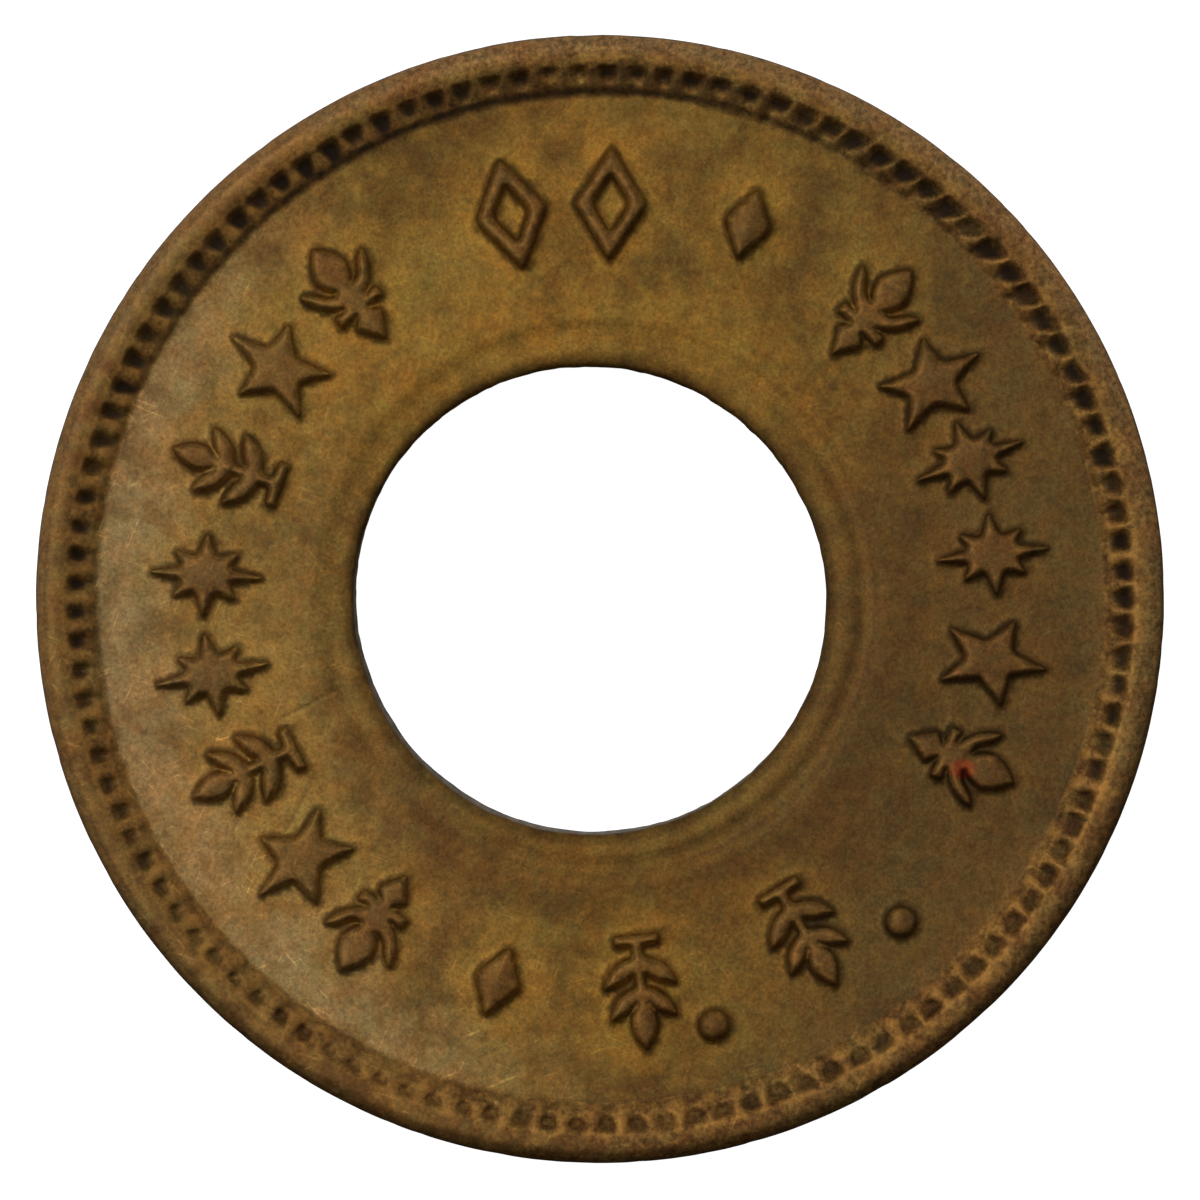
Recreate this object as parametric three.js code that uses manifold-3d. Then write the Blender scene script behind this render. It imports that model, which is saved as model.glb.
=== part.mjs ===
// Holed brass token, struck on both faces from one blank and then punched through.
// Units are millimetres and +Z is up. The obverse faces up. The origin lies under the middle
// of the outline, on the plane that the reverse rim rests on.

import * as THREE from 'three';
import { mergeVertices } from 'three/addons/utils/BufferGeometryUtils.js';
import Module from 'manifold-3d';

const wasm = await Module();
wasm.setup();

// ---- driving dimensions ----

const DIAMETER = 21.2;
const THICKNESS = 1.7; // over the two rims
const HALF = THICKNESS / 2;

const RIM_HEIGHT = 0.26; // rim land above the field
const LAND_INNER_RADIUS = 10.12;
const LAND_OUTER_RADIUS = 10.36;
const SHOULDER_RADIUS = 10.5; // a corner half way round the worn outer shoulder
const SHOULDER_DROP = 0.07;
const EDGE_DROP = 0.24; // where the shoulder meets the edge, below the land
const RIM_INNER_RADIUS = 10.02; // head of the rim's inner wall
const RIM_INNER_DROP = 0.04;

const RING_CREST_RADIUS = 4.66; // a shallow ring pressed round the hole
const RING_CREST_DEPTH = 0.016;
const RING_FLOOR_RADIUS = 5.0;
const RING_FLOOR_DEPTH = 0.042;
const RING_OUTER_RADIUS = 5.42;

const HOLE_RADIUS = 4.44;
const HOLE_CENTRE = [-0.17, 0.005]; // the punch struck a little to one side
const HOLE_ROLL = 0.12; // radius of the rolled edge at each mouth of the hole
const HOLE_SEGMENTS = 64;
const HOLE_ROLL_STEPS = 2;

const DENTICLES = 113;
const BORDER_RADIUS = 9.44; // where the border rises from the field
const LEDGE_RADIUS = 9.58; // the teeth stand on a low ledge that begins here
const LEDGE_HEIGHT = 0.05;
const POCKET_OUTER_RADIUS = 9.87; // foot of the rim's inner wall, between the teeth
const TOOTH_WIDTH = 0.15; // at the rim; each tooth is twice as wide at its foot

const BAND_RADIUS = 7.42; // middle of the band of ornaments
const ORNAMENT_HEIGHT = 0.18; // relief above the field
const ORNAMENT_TALL = 2.16;
const CURVE_STEPS = 3; // chords in each curve of an ornament

const STAR_POINTS = 5;
const STAR_RADII = [0.86, 0.38]; // tips and notches
const ROSETTE_RADII = [0.8, 0.36, 0.62, 0.36]; // long petal, notch, short petal, notch
const ROSETTE_PETALS = 8;
const FRAMED_LOZENGE = [1.36, ORNAMENT_TALL]; // width and height
const FRAMED_LOZENGE_OPENING = [0.72, 1.14];
const LOZENGE = [0.9, 1.42];
const LOZENGE_RADII = [7.56, 7.43]; // the two stand at slightly different radii
const LOZENGE_LEAN = 5; // degrees off upright, one each way
const PELLET_RADIUS = 0.28;
const PELLET_RING_RADIUS = 8.28;
const REVERSE_STARS = 8;

const FIELD = HALF - RIM_HEIGHT; // height of the field above the middle plane
const RELIEF_ROOT = 0.2; // how deep the teeth and ornaments are joined into the disc
const CLEARANCE = 1; // how far a cutter runs past the faces
const MERGE_TOLERANCE = 1e-5; // corners nearer than this are one corner

// ---- solids ----

// A closed geometry as a solid that can be joined and cut. A lathe's triangles that shrink to
// a line on its axis are left out.
function solidOf(geometry) {
  const bare = geometry.clone();
  bare.deleteAttribute('normal');
  bare.deleteAttribute('uv');
  const merged = mergeVertices(bare, MERGE_TOLERANCE);
  const corners = merged.index.array;
  const kept = [];
  for (let i = 0; i < corners.length; i += 3) {
    const [a, b, c] = corners.slice(i, i + 3);
    if (a !== b && b !== c && c !== a) {
      kept.push(a, b, c);
    }
  }
  return new wasm.Manifold(new wasm.Mesh({
    numProp: 3,
    vertProperties: new Float32Array(merged.attributes.position.array),
    triVerts: new Uint32Array(kept),
  }));
}

function geometryOf(solid) {
  const mesh = solid.getMesh();
  const geometry = new THREE.BufferGeometry();
  geometry.setAttribute('position', new THREE.BufferAttribute(mesh.vertProperties, 3));
  geometry.setIndex(new THREE.BufferAttribute(mesh.triVerts, 1));
  geometry.computeVertexNormals();
  return geometry;
}

// A profile of [radius, height] pairs turned about Z.
function turned(profile, segments) {
  const points = profile.map(([radius, height]) => new THREE.Vector2(radius, height));
  return new THREE.LatheGeometry(points, segments).rotateX(Math.PI / 2);
}

// ---- the blank, with its rim, field and the ring round its hole ----

function discProfile() {
  const face = [
    [0, FIELD - RING_CREST_DEPTH],
    [RING_CREST_RADIUS, FIELD - RING_CREST_DEPTH],
    [RING_FLOOR_RADIUS, FIELD - RING_FLOOR_DEPTH],
    [RING_OUTER_RADIUS, FIELD],
    [BORDER_RADIUS, FIELD],
    [LEDGE_RADIUS, FIELD + LEDGE_HEIGHT],
    [POCKET_OUTER_RADIUS, FIELD + LEDGE_HEIGHT],
    [RIM_INNER_RADIUS, HALF - RIM_INNER_DROP],
    [LAND_INNER_RADIUS, HALF],
    [LAND_OUTER_RADIUS, HALF],
    [SHOULDER_RADIUS, HALF - SHOULDER_DROP],
    [DIAMETER / 2, HALF - EDGE_DROP],
  ];
  const underside = face.map(([radius, height]) => [radius, -height]);
  return [...underside, ...face.reverse()];
}

// ---- the denticles: teeth that slope down from the rim and widen towards the field ----

function tooth(index) {
  const crest = HALF - RIM_INNER_DROP;
  const foot = FIELD + LEDGE_HEIGHT;
  const root = FIELD - RELIEF_ROOT;
  const length = RIM_INNER_RADIUS - LEDGE_RADIUS;
  const slope = (crest - foot) / length;
  const side = new THREE.Shape();
  side.moveTo(LEDGE_RADIUS - (foot - root) / slope, root);
  side.lineTo(RIM_INNER_RADIUS, root);
  side.lineTo(RIM_INNER_RADIUS, crest);
  const wedge = new THREE.ExtrudeGeometry(side, { depth: TOOTH_WIDTH, bevelEnabled: false });
  wedge.translate(0, 0, -TOOTH_WIDTH / 2);
  wedge.rotateX(Math.PI / 2);
  const corners = wedge.attributes.position;
  for (let i = 0; i < corners.count; i += 1) {
    const widening = 1 + (RIM_INNER_RADIUS - corners.getX(i)) / length;
    corners.setY(i, corners.getY(i) * widening);
  }
  wedge.rotateZ(((index + 0.5) / DENTICLES) * Math.PI * 2);
  return wedge;
}

// ---- the ornaments: upright outlines, x across the slot and y outwards ----

// An outline from its right-hand half, given from the bottom up, and its mirror image.
// Each step is [x, y] for a straight edge or [x, y, controlX, controlY] for a curve.
function mirroredOutline(foot, steps) {
  const outline = new THREE.Shape();
  outline.moveTo(...foot);
  let from = foot;
  const back = [];
  for (const [x, y, controlX, controlY] of steps) {
    if (controlX === undefined) {
      outline.lineTo(x, y);
      back.unshift([-from[0], from[1]]);
    } else {
      outline.quadraticCurveTo(controlX, controlY, x, y);
      back.unshift([-from[0], from[1], -controlX, controlY]);
    }
    from = [x, y];
  }
  for (const [x, y, controlX, controlY] of back) {
    if (controlX === undefined) {
      outline.lineTo(x, y);
    } else {
      outline.quadraticCurveTo(controlX, controlY, x, y);
    }
  }
  return outline;
}

// A closed outline that goes round through the given radii in turn, starting at the top, and
// is stretched to the ornaments' height.
function radialOutline(corners, radii) {
  const stretch = ORNAMENT_TALL / (2 * radii[0]);
  const points = [];
  for (let i = 0; i < corners; i += 1) {
    const angle = (i / corners) * Math.PI * 2;
    const radius = radii[i % radii.length];
    points.push(new THREE.Vector2(radius * Math.sin(angle), radius * Math.cos(angle) * stretch));
  }
  return new THREE.Shape(points);
}

function star() {
  return radialOutline(STAR_POINTS * 2, STAR_RADII);
}

function rosette() {
  return radialOutline(ROSETTE_PETALS * 2, ROSETTE_RADII);
}

function lozengeCorners([width, height]) {
  return [
    new THREE.Vector2(0, -height / 2),
    new THREE.Vector2(width / 2, 0),
    new THREE.Vector2(0, height / 2),
    new THREE.Vector2(-width / 2, 0),
  ];
}

function lozenge() {
  return new THREE.Shape(lozengeCorners(LOZENGE));
}

function framedLozenge() {
  const frame = new THREE.Shape(lozengeCorners(FRAMED_LOZENGE));
  frame.holes.push(new THREE.Path(lozengeCorners(FRAMED_LOZENGE_OPENING)));
  return frame;
}

// A lily: a tall middle petal, two that curl outwards, a cross band and a foot.
function lily() {
  return mirroredOutline([0, -1.08], [
    [0.3, -0.62, 0.2, -0.82],
    [0.12, -0.42],
    [0.5, -0.42],
    [0.5, -0.2],
    [0.24, -0.2],
    [0.74, 0.5, 0.72, 0.1],
    [0.44, 0.28, 0.58, 0.5],
    [0.16, 0.14, 0.32, 0.1],
    [0.34, 0.56, 0.34, 0.36],
    [0, 1.08, 0.28, 0.84],
  ]);
}

// A sprig: a stem on a foot, two pairs of leaves and a leaf at the tip.
function sprig() {
  return mirroredOutline([0, -1.08], [
    [0.42, -1.08],
    [0.42, -0.9],
    [0.1, -0.86],
    [0.1, -0.66],
    [0.68, -0.12, 0.6, -0.56],
    [0.1, -0.34, 0.36, -0.12],
    [0.08, -0.1],
    [0.62, 0.48, 0.56, 0.02],
    [0.1, 0.22, 0.34, 0.46],
    [0.24, 0.62, 0.26, 0.42],
    [0, 1.08, 0.2, 0.88],
  ]);
}

function pellet() {
  const outline = new THREE.Shape();
  outline.absarc(0, 0, PELLET_RADIUS, 0, Math.PI * 2);
  return outline;
}

// ---- where they stand: shape, degrees anticlockwise from +X, radius and lean in degrees ----

const OBVERSE = [
  [lily, 235], [star, 221], [sprig, 206], [rosette, 191],
  [rosette, 176.5], [sprig, 160.5], [star, 144.5], [lily, 129.5],
  [framedLozenge, 103], [framedLozenge, 88.5],
  [lily, 46.5], [star, 33], [rosette, 20.5], [rosette, 6.5], [star, 351], [lily, 336],
  [sprig, 301.5], [sprig, 276],
  [lozenge, 68.5, LOZENGE_RADII[0], LOZENGE_LEAN],
  [lozenge, 255, LOZENGE_RADII[1], -LOZENGE_LEAN],
  [pellet, 285, PELLET_RING_RADIUS],
  [pellet, 313, PELLET_RING_RADIUS],
];

const REVERSE = [];
for (let i = 0; i < REVERSE_STARS; i += 1) {
  const pitch = 360 / REVERSE_STARS;
  REVERSE.push([star, i * pitch]);
  REVERSE.push([lozenge, (i + 0.5) * pitch]);
}

function ornament([shapeOf, degrees, radius = BAND_RADIUS, lean = 0]) {
  const geometry = new THREE.ExtrudeGeometry(shapeOf(), {
    depth: RELIEF_ROOT + ORNAMENT_HEIGHT,
    bevelEnabled: false,
    curveSegments: CURVE_STEPS,
  });
  geometry.translate(0, 0, FIELD - RELIEF_ROOT);
  geometry.rotateZ(THREE.MathUtils.degToRad(lean));
  geometry.translate(0, radius, 0);
  geometry.rotateZ(THREE.MathUtils.degToRad(degrees - 90));
  return geometry;
}

// ---- the hole, with a rolled edge at both mouths ----

function holeCutter() {
  const profile = [[0, -CLEARANCE - HALF]];
  const mouth = FIELD - RING_CREST_DEPTH;
  for (const side of [-1, 1]) {
    const roll = [];
    for (let step = 0; step <= HOLE_ROLL_STEPS; step += 1) {
      const angle = (step / HOLE_ROLL_STEPS) * (Math.PI / 2);
      const radius = HOLE_RADIUS + HOLE_ROLL * (1 - Math.cos(angle));
      roll.push([radius, side * (mouth - HOLE_ROLL + HOLE_ROLL * Math.sin(angle))]);
    }
    roll.push([HOLE_RADIUS + HOLE_ROLL, side * (HALF + CLEARANCE)]);
    profile.push(...(side < 0 ? roll.reverse() : roll));
  }
  profile.push([0, HALF + CLEARANCE]);
  return turned(profile, HOLE_SEGMENTS).translate(...HOLE_CENTRE, 0);
}

// ---- the token ----

function tokenDisc() {
  let disc = solidOf(turned(discProfile(), DENTICLES));
  for (let index = 0; index < DENTICLES; index += 1) {
    disc = disc.add(solidOf(tooth(index)));
    disc = disc.add(solidOf(tooth(index).rotateX(Math.PI)));
  }
  for (const place of OBVERSE) {
    disc = disc.add(solidOf(ornament(place)));
  }
  for (const place of REVERSE) {
    disc = disc.add(solidOf(ornament(place).rotateX(Math.PI)));
  }
  disc = disc.subtract(solidOf(holeCutter()));
  return geometryOf(disc).translate(0, 0, HALF);
}

const brass = new THREE.MeshStandardMaterial({
  name: 'worn_brass',
  color: new THREE.Color(0.42, 0.31, 0.16),
  metalness: 0.9,
  roughness: 0.5,
});

const token = new THREE.Group();
const disc = new THREE.Mesh(tokenDisc(), brass);
disc.name = 'token_disc';
token.add(disc);

export default token;
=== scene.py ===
"""A holed brass token lying obverse up on a pale table, seen from straight above.

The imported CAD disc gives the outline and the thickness. One closed mesh stands for it here: two
struck faces, each triangulated so that its edges follow the relief, joined by the outer edge and
by the wall of the hole. Lengths are in millimetres until the mesh is handed to Blender.
"""

import math

import bpy
import numpy as np
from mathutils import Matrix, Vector
from mathutils.geometry import delaunay_2d_cdt
from mathutils.kdtree import KDTree


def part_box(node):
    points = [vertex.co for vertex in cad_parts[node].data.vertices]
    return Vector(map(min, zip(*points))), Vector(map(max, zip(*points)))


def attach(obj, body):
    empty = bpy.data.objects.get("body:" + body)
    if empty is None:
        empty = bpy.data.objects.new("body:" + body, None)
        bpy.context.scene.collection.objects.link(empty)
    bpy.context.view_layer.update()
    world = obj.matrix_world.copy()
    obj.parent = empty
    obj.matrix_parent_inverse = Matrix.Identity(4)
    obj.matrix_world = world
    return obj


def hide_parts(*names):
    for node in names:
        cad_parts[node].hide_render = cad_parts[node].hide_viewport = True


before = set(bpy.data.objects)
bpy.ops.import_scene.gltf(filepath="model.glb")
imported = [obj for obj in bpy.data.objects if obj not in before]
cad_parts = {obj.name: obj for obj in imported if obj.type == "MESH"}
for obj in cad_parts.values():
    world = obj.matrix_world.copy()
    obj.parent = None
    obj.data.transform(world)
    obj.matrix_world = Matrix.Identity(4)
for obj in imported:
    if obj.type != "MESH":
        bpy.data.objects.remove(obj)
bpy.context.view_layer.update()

MM = 0.001
RNG = np.random.default_rng(41)

# ---- sizes, in millimetres ----

LOW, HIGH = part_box("token_disc")
RADIUS = min(HIGH.x, HIGH.y, -LOW.x, -LOW.y) / MM
THICKNESS = HIGH.z / MM
HALF = THICKNESS / 2

RIM_HEIGHT = 0.26
FIELD = HALF - RIM_HEIGHT  # field above the middle plane
RIM_CREST = 10.05  # inner edge of the rim's land
RIM_TOP = 10.24  # highest line of the land, which is rounded from here to the outer edge
LAND_FALL = 0.03  # how far the land falls from there to its inner edge
RIM_EDGE = 10.42  # where the face's mesh ends and the edge's begins
SHOULDER = RADIUS - RIM_TOP
SHOULDER_DROP = 0.27

TEETH = 113
PITCH = 2 * math.pi / TEETH
TOOTH_FOOT = 9.42
LEDGE = 0.06  # height of the step at the foot of the teeth

RING_OUTER = 5.42  # a shallow ring pressed round the hole
RING_FLOOR = 5.0
RING_CREST = 4.66
RING_CENTRE = np.array([-0.05, -0.05])
HOLE_RADIUS = 4.42
HOLE_OVAL = 0.03  # how much longer and shorter than that its half axes are
HOLE_LONG = math.radians(162)  # direction of its long axis
HOLE_ROLL = 0.15
HOLE_SLOPE = 0.4  # width of the slope that leads down to the hole's edge
HOLE_CENTRE = np.array([-0.166, 0.0])
PUNCH_DRIFT = np.array([0.05, 0.06])  # how far the punch wandered from face to face
HOLE_FLARE = 0.03  # how much wider the punch broke out underneath

BAND_RADIUS = 7.42
TALL = 2.16
RELIEF = 0.18


def smooth(low, high, x):
    """0 at low and 1 at high, eased at both ends; low may be the larger."""
    t = np.clip((x - low) / (high - low), 0, 1)
    return t * t * (3 - 2 * t)


def bell(x, centre, width):
    return np.exp(-(((x - centre) / width) ** 2))


def value_noise(x, y, scale, seed):
    """Smooth noise from -1 to 1 whose patches are about scale wide."""
    table = np.random.default_rng(seed).uniform(-1, 1, (64, 64))
    gx, gy = x / scale, y / scale
    ix, iy = np.floor(gx).astype(int), np.floor(gy).astype(int)
    fx, fy = gx - ix, gy - iy
    fx, fy = fx * fx * (3 - 2 * fx), fy * fy * (3 - 2 * fy)

    def at(dx, dy):
        return table[(ix + dx) % 64, (iy + dy) % 64]

    low = at(0, 0) * (1 - fx) + at(1, 0) * fx
    high = at(0, 1) * (1 - fx) + at(1, 1) * fx
    return low * (1 - fy) + high * fy


# ---- ornament outlines: closed loops, x across the slot and y outwards ----


def rounded(loop, reach):
    """The loop with its sharp corners cut by curves that begin reach away from each corner."""
    found = []
    for before, corner, after in zip(np.roll(loop, 1, axis=0), loop, np.roll(loop, -1, axis=0)):
        back, ahead = before - corner, after - corner
        sizes = np.hypot(*back), np.hypot(*ahead)
        if back @ ahead < -0.9 * sizes[0] * sizes[1]:
            found.append(corner)
            continue
        start = corner + back * min(0.45, reach / sizes[0])
        end = corner + ahead * min(0.45, reach / sizes[1])
        for t in (0, 0.35, 0.65, 1):
            found.append((1 - t) ** 2 * start + 2 * t * (1 - t) * corner + t * t * end)
    return np.array(found)


def mirrored(foot, steps, chords=8):
    """A loop from its right half, bottom up, and the mirror of it. A step is (x, y) for a
    straight edge or (x, y, control x, control y) for a curve."""
    half = [np.array(foot, float)]
    for step in steps:
        start, end = half[-1], np.array(step[:2], float)
        if len(step) == 2:
            half.append(end)
            continue
        control = np.array(step[2:], float)
        for t in np.linspace(0, 1, chords + 1)[1:]:
            half.append((1 - t) ** 2 * start + 2 * t * (1 - t) * control + t * t * end)
    right = np.array(half)
    left = right[::-1][1:-1] * (-1, 1)
    return rounded(np.vstack([right, left]), 0.06)


def radial(corners, radii):
    """A loop through the given radii in turn, stretched to the ornaments' height."""
    angle = np.arange(corners) / corners * 2 * math.pi
    radius = np.resize(radii, corners)
    stretch = TALL / (2 * radii[0])
    return rounded(np.column_stack([-radius * np.sin(angle), radius * np.cos(angle) * stretch]), 0.09)


def lozenge_loop(width, height):
    corners = [(0, -height / 2), (width / 2, 0), (0, height / 2), (-width / 2, 0)]
    return rounded(np.array(corners, float), 0.13)


def star():
    return [radial(10, (0.86, 0.38))]


def rosette():
    return [radial(16, (0.8, 0.36, 0.62, 0.36))]


def framed_lozenge():
    return [lozenge_loop(1.36, TALL), lozenge_loop(0.72, 1.14)]


def lozenge():
    return [lozenge_loop(0.9, 1.42)]


def pellet():
    angle = np.arange(28) / 28 * 2 * math.pi
    return [0.28 * np.column_stack([np.cos(angle), np.sin(angle)])]


def lily():
    return [mirrored((0, -1.08), [
        (0.3, -0.62, 0.2, -0.82), (0.12, -0.42), (0.5, -0.42), (0.5, -0.2), (0.24, -0.2),
        (0.74, 0.5, 0.72, 0.1), (0.44, 0.28, 0.58, 0.5), (0.16, 0.14, 0.32, 0.1),
        (0.34, 0.56, 0.34, 0.36), (0, 1.08, 0.28, 0.84),
    ])]


def sprig():
    return [mirrored((0, -1.08), [
        (0.42, -1.08), (0.42, -0.9), (0.1, -0.86), (0.1, -0.66), (0.68, -0.12, 0.6, -0.56),
        (0.1, -0.34, 0.36, -0.12), (0.08, -0.1), (0.62, 0.48, 0.56, 0.02),
        (0.1, 0.22, 0.34, 0.46), (0.24, 0.62, 0.26, 0.42), (0, 1.08, 0.2, 0.88),
    ])]


# ---- where they stand: shape, degrees anticlockwise from +X, radius, lean, crown ----

FLAT_CROWN = 0.05
ROOF_CROWN = 0.16


def slot(shape, degrees, radius=BAND_RADIUS, lean=0, crown=FLAT_CROWN):
    turn = math.radians(degrees - 90)
    return {
        "loops": shape(), "turn": turn + math.radians(lean), "crown": crown,
        "centre": radius * np.array([-math.sin(turn), math.cos(turn)]),
    }


OBVERSE = [
    slot(shape, degrees)
    for shape, degrees in [
        (lily, 235), (star, 221), (sprig, 206), (rosette, 191),
        (rosette, 176.5), (sprig, 160.5), (star, 144.5), (lily, 129.5),
        (framed_lozenge, 103), (framed_lozenge, 88.5),
        (lily, 46.5), (star, 33), (rosette, 20.5), (rosette, 6.5), (star, 351), (lily, 336),
        (sprig, 301.5), (sprig, 276),
    ]
] + [
    slot(lozenge, 68.5, 7.56, 5, ROOF_CROWN), slot(lozenge, 255, 7.43, -5, ROOF_CROWN),
    slot(pellet, 285, 8.28, 0, ROOF_CROWN), slot(pellet, 313, 8.28, 0, ROOF_CROWN),
]
REVERSE = [slot(star, i * 45) for i in range(8)]
REVERSE += [slot(lozenge, i * 45 + 22.5, BAND_RADIUS, 0, ROOF_CROWN) for i in range(8)]


def signed_distance(points, loops):
    """Distance to the nearest edge of the loops, negative inside."""
    nearest = np.full(len(points), np.inf)
    inside = np.zeros(len(points), bool)
    for loop in loops:
        ends = np.roll(loop, -1, axis=0)
        for a, b in zip(loop, ends):
            edge = b - a
            along = np.clip(((points - a) @ edge) / (edge @ edge), 0, 1)
            away = points - a - along[:, None] * edge
            nearest = np.minimum(nearest, np.einsum("ij,ij->i", away, away))
            crosses = (a[1] > points[:, 1]) != (b[1] > points[:, 1])
            if a[1] != b[1]:
                at = a[0] + (points[:, 1] - a[1]) / (b[1] - a[1]) * edge[0]
                inside ^= crosses & (points[:, 0] < at)
    return np.where(inside, -1, 1) * np.sqrt(nearest)


def to_slot(points, place):
    """Face coordinates in a slot's own frame."""
    c, s = math.cos(place["turn"]), math.sin(place["turn"])
    rel = points - place["centre"]
    return np.column_stack([rel @ (c, s), rel @ (-s, c)])


def from_slot(points, place):
    c, s = math.cos(place["turn"]), math.sin(place["turn"])
    return points @ np.array([(c, s), (-s, c)]) + place["centre"]


SLOT_REACH = 1.6  # how far from a slot's centre its ornament is looked for
FAR = 1.0  # stands for any larger distance from an ornament


def relief_distance(points, places):
    """Signed distance to the nearest ornament, and that ornament's crown."""
    distance = np.full(len(points), FAR)
    crown = np.zeros(len(points))
    for place in places:
        near = np.flatnonzero(((points - place["centre"]) ** 2).sum(1) < SLOT_REACH**2)
        d = signed_distance(to_slot(points[near], place), place["loops"])
        closer = d < distance[near]
        distance[near[closer]] = d[closer]
        crown[near[closer]] = place["crown"]
    return distance, crown


def contour_points(place, offset, spacing):
    """Points along the line at a signed distance from a slot's outline."""
    found = []
    for loop in place["loops"]:
        area = np.cross(loop, np.roll(loop, -1, axis=0)).sum()
        hole = loop is not place["loops"][0]
        turn = (1 if area > 0 else -1) * (-1 if hole else 1)
        ends = np.roll(loop, -1, axis=0)
        edges = ends - loop
        lengths = np.hypot(*edges.T)
        normals = turn * np.column_stack([edges[:, 1], -edges[:, 0]]) / lengths[:, None]
        for i in range(len(loop)):
            count = max(1, round(lengths[i] / spacing))
            t = (np.arange(count) + 0.5) / count
            found.append(loop[i] + t[:, None] * edges[i] + offset * normals[i])
            before, after = normals[i - 1], normals[i]
            bisector = before + after
            size = np.hypot(*bisector)
            if size > 0.2:
                found.append([loop[i] + offset * bisector * 2 / size**2])
                found.append([loop[i] + offset * bisector / size])
    found = np.vstack(found)
    off = np.abs(signed_distance(found, place["loops"]) - offset)
    return from_slot(found[off < 0.004], place)


# ---- marks of use: scratches and dents ----

DIE_CRACK = (6.58, math.radians(200.9), 4.8, math.radians(198.5))


def scratch_lines():
    """Rows of x0, y0, x1, y1, half width and depth."""
    r0, a0, r1, a1 = DIE_CRACK
    rows = [(r0 * math.cos(a0), r0 * math.sin(a0), r1 * math.cos(a1), r1 * math.sin(a1),
             0.022, 0.01)]
    for _ in range(16):
        radius, angle = RNG.uniform(5.6, 9.2), RNG.uniform(0, 2 * math.pi)
        heading, length = RNG.uniform(0, math.pi), RNG.uniform(0.4, 1.8)
        x, y = radius * math.cos(angle), radius * math.sin(angle)
        dx, dy = length * math.cos(heading), length * math.sin(heading)
        rows.append((x, y, x + dx, y + dy, RNG.uniform(0.014, 0.022), RNG.uniform(0.002, 0.006)))
    return rows


def dent_spots():
    """Rows of x, y, radius and depth; most are on the rim's land."""
    rows = []
    for i in range(90):
        on_rim = i < 60
        radius = RNG.uniform(10.08, 10.4) if on_rim else RNG.uniform(5.2, 9.3)
        angle = RNG.uniform(0, 2 * math.pi)
        size = RNG.uniform(0.05, 0.14)
        rows.append((radius * math.cos(angle), radius * math.sin(angle), size,
                     size * RNG.uniform(0.06, 0.16)))
    return rows


SCRATCHES = scratch_lines()
DENTS = dent_spots()


def marks(points):
    """How far scratches and dents lower the obverse."""
    lower = np.zeros(len(points))
    for x0, y0, x1, y1, width, depth in SCRATCHES:
        start, edge = np.array([x0, y0]), np.array([x1 - x0, y1 - y0])
        along = ((points - start) @ edge) / (edge @ edge)
        away = np.hypot(*(points - start - np.clip(along, 0, 1)[:, None] * edge).T)
        fade = smooth(-0.02, 0.2, along) * smooth(1.02, 0.8, along)
        lower += depth * np.exp(-((away / width) ** 2)) * fade
    for x, y, size, depth in DENTS:
        away = np.hypot(points[:, 0] - x, points[:, 1] - y)
        lower += depth * np.exp(-((away / size) ** 2))
    return lower


def scratch_points():
    """Points along the middle and both sides of every scratch."""
    found = []
    for x0, y0, x1, y1, width, _ in SCRATCHES:
        start, edge = np.array([x0, y0]), np.array([x1 - x0, y1 - y0])
        length = np.hypot(*edge)
        across = np.array([-edge[1], edge[0]]) / length
        t = np.linspace(0, 1, max(2, int(length / 0.06)))[:, None]
        for side in (-1.4, 0, 1.4):
            found.append(start + t * edge + side * width * across)
    return np.vstack(found)


# ---- the border: a sloped ring, with a pit between each tooth and the next ----

PIT_WALL = 9.94  # middle of the steep wall between a pit and the rim
PIT_TIP = 9.58
PIT_HALF = 0.37  # half its width at the rim, in pitches
PIT_EDGE = 0.12  # half the width of its sloping sides, in pitches
PIT_AT = np.arange(TEETH) * 360 / TEETH  # degrees anticlockwise from +X

# Each pit's own shape, and its darkness from dirt and painted shade. The bells are the photograph's
# changes round the border.
PIT_SHIFT = RNG.uniform(-0.05, 0.05, TEETH)
PIT_WIDTH = RNG.uniform(0.84, 1.08, TEETH)
PIT_WIDTH *= 1 - 0.4 * bell(PIT_AT, 178, 30) - 0.25 * bell(PIT_AT, 240, 40)
PIT_WIDTH *= 1 - 0.15 * bell(PIT_AT, 90, 25) + 0.12 * bell(PIT_AT, 45, 20)
PIT_WIDTH *= 1 - 0.12 * bell(PIT_AT, 132, 26)
PIT_REACH = RNG.uniform(-0.05, 0.08, TEETH)
PIT_REACH += 0.14 * bell(PIT_AT, 248, 40) + 0.05 * bell(PIT_AT, 330, 40) + 0.14 * bell(PIT_AT, 90, 18)
PIT_REACH -= 0.12 * bell(PIT_AT, 145, 35) + 0.1 * bell(PIT_AT, 45, 22)
PIT_DEPTH = RNG.uniform(-0.035, 0.015, TEETH)
PIT_DIRT_AND_SHADE = RNG.uniform(0.65, 1.0, TEETH)
PIT_DIRT_AND_SHADE *= 1 - 0.5 * bell(PIT_AT, 250, 50)  # paler pits at the lower left, where they face the light: less painted shade
PIT_DIRT_AND_SHADE *= 1 - 0.3 * bell(PIT_AT, 318, 30) - 0.15 * bell(PIT_AT, 45, 20)
PIT_SKEW = RNG.uniform(-0.25, 0.25, TEETH)  # pitches per millimetre
PIT_SKEW -= 0.9 * bell(PIT_AT, 48, 26)  # the border leans at the upper right
TOOTH_ROUNDING = 0.05  # how far a tooth falls away from its middle to each side
FOOT_SCALLOP = 0.04  # how much further out the border's foot is between two teeth


def pit_half(pit, radius):
    """Half the width of a pit, in pitches: a wedge that opens towards the rim."""
    tip = PIT_TIP + PIT_REACH[pit]
    opened = np.clip((radius - tip) / (PIT_WALL - tip), 0, 1)
    return PIT_WIDTH[pit] * PIT_HALF * (0.5 + 0.5 * opened)


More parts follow.
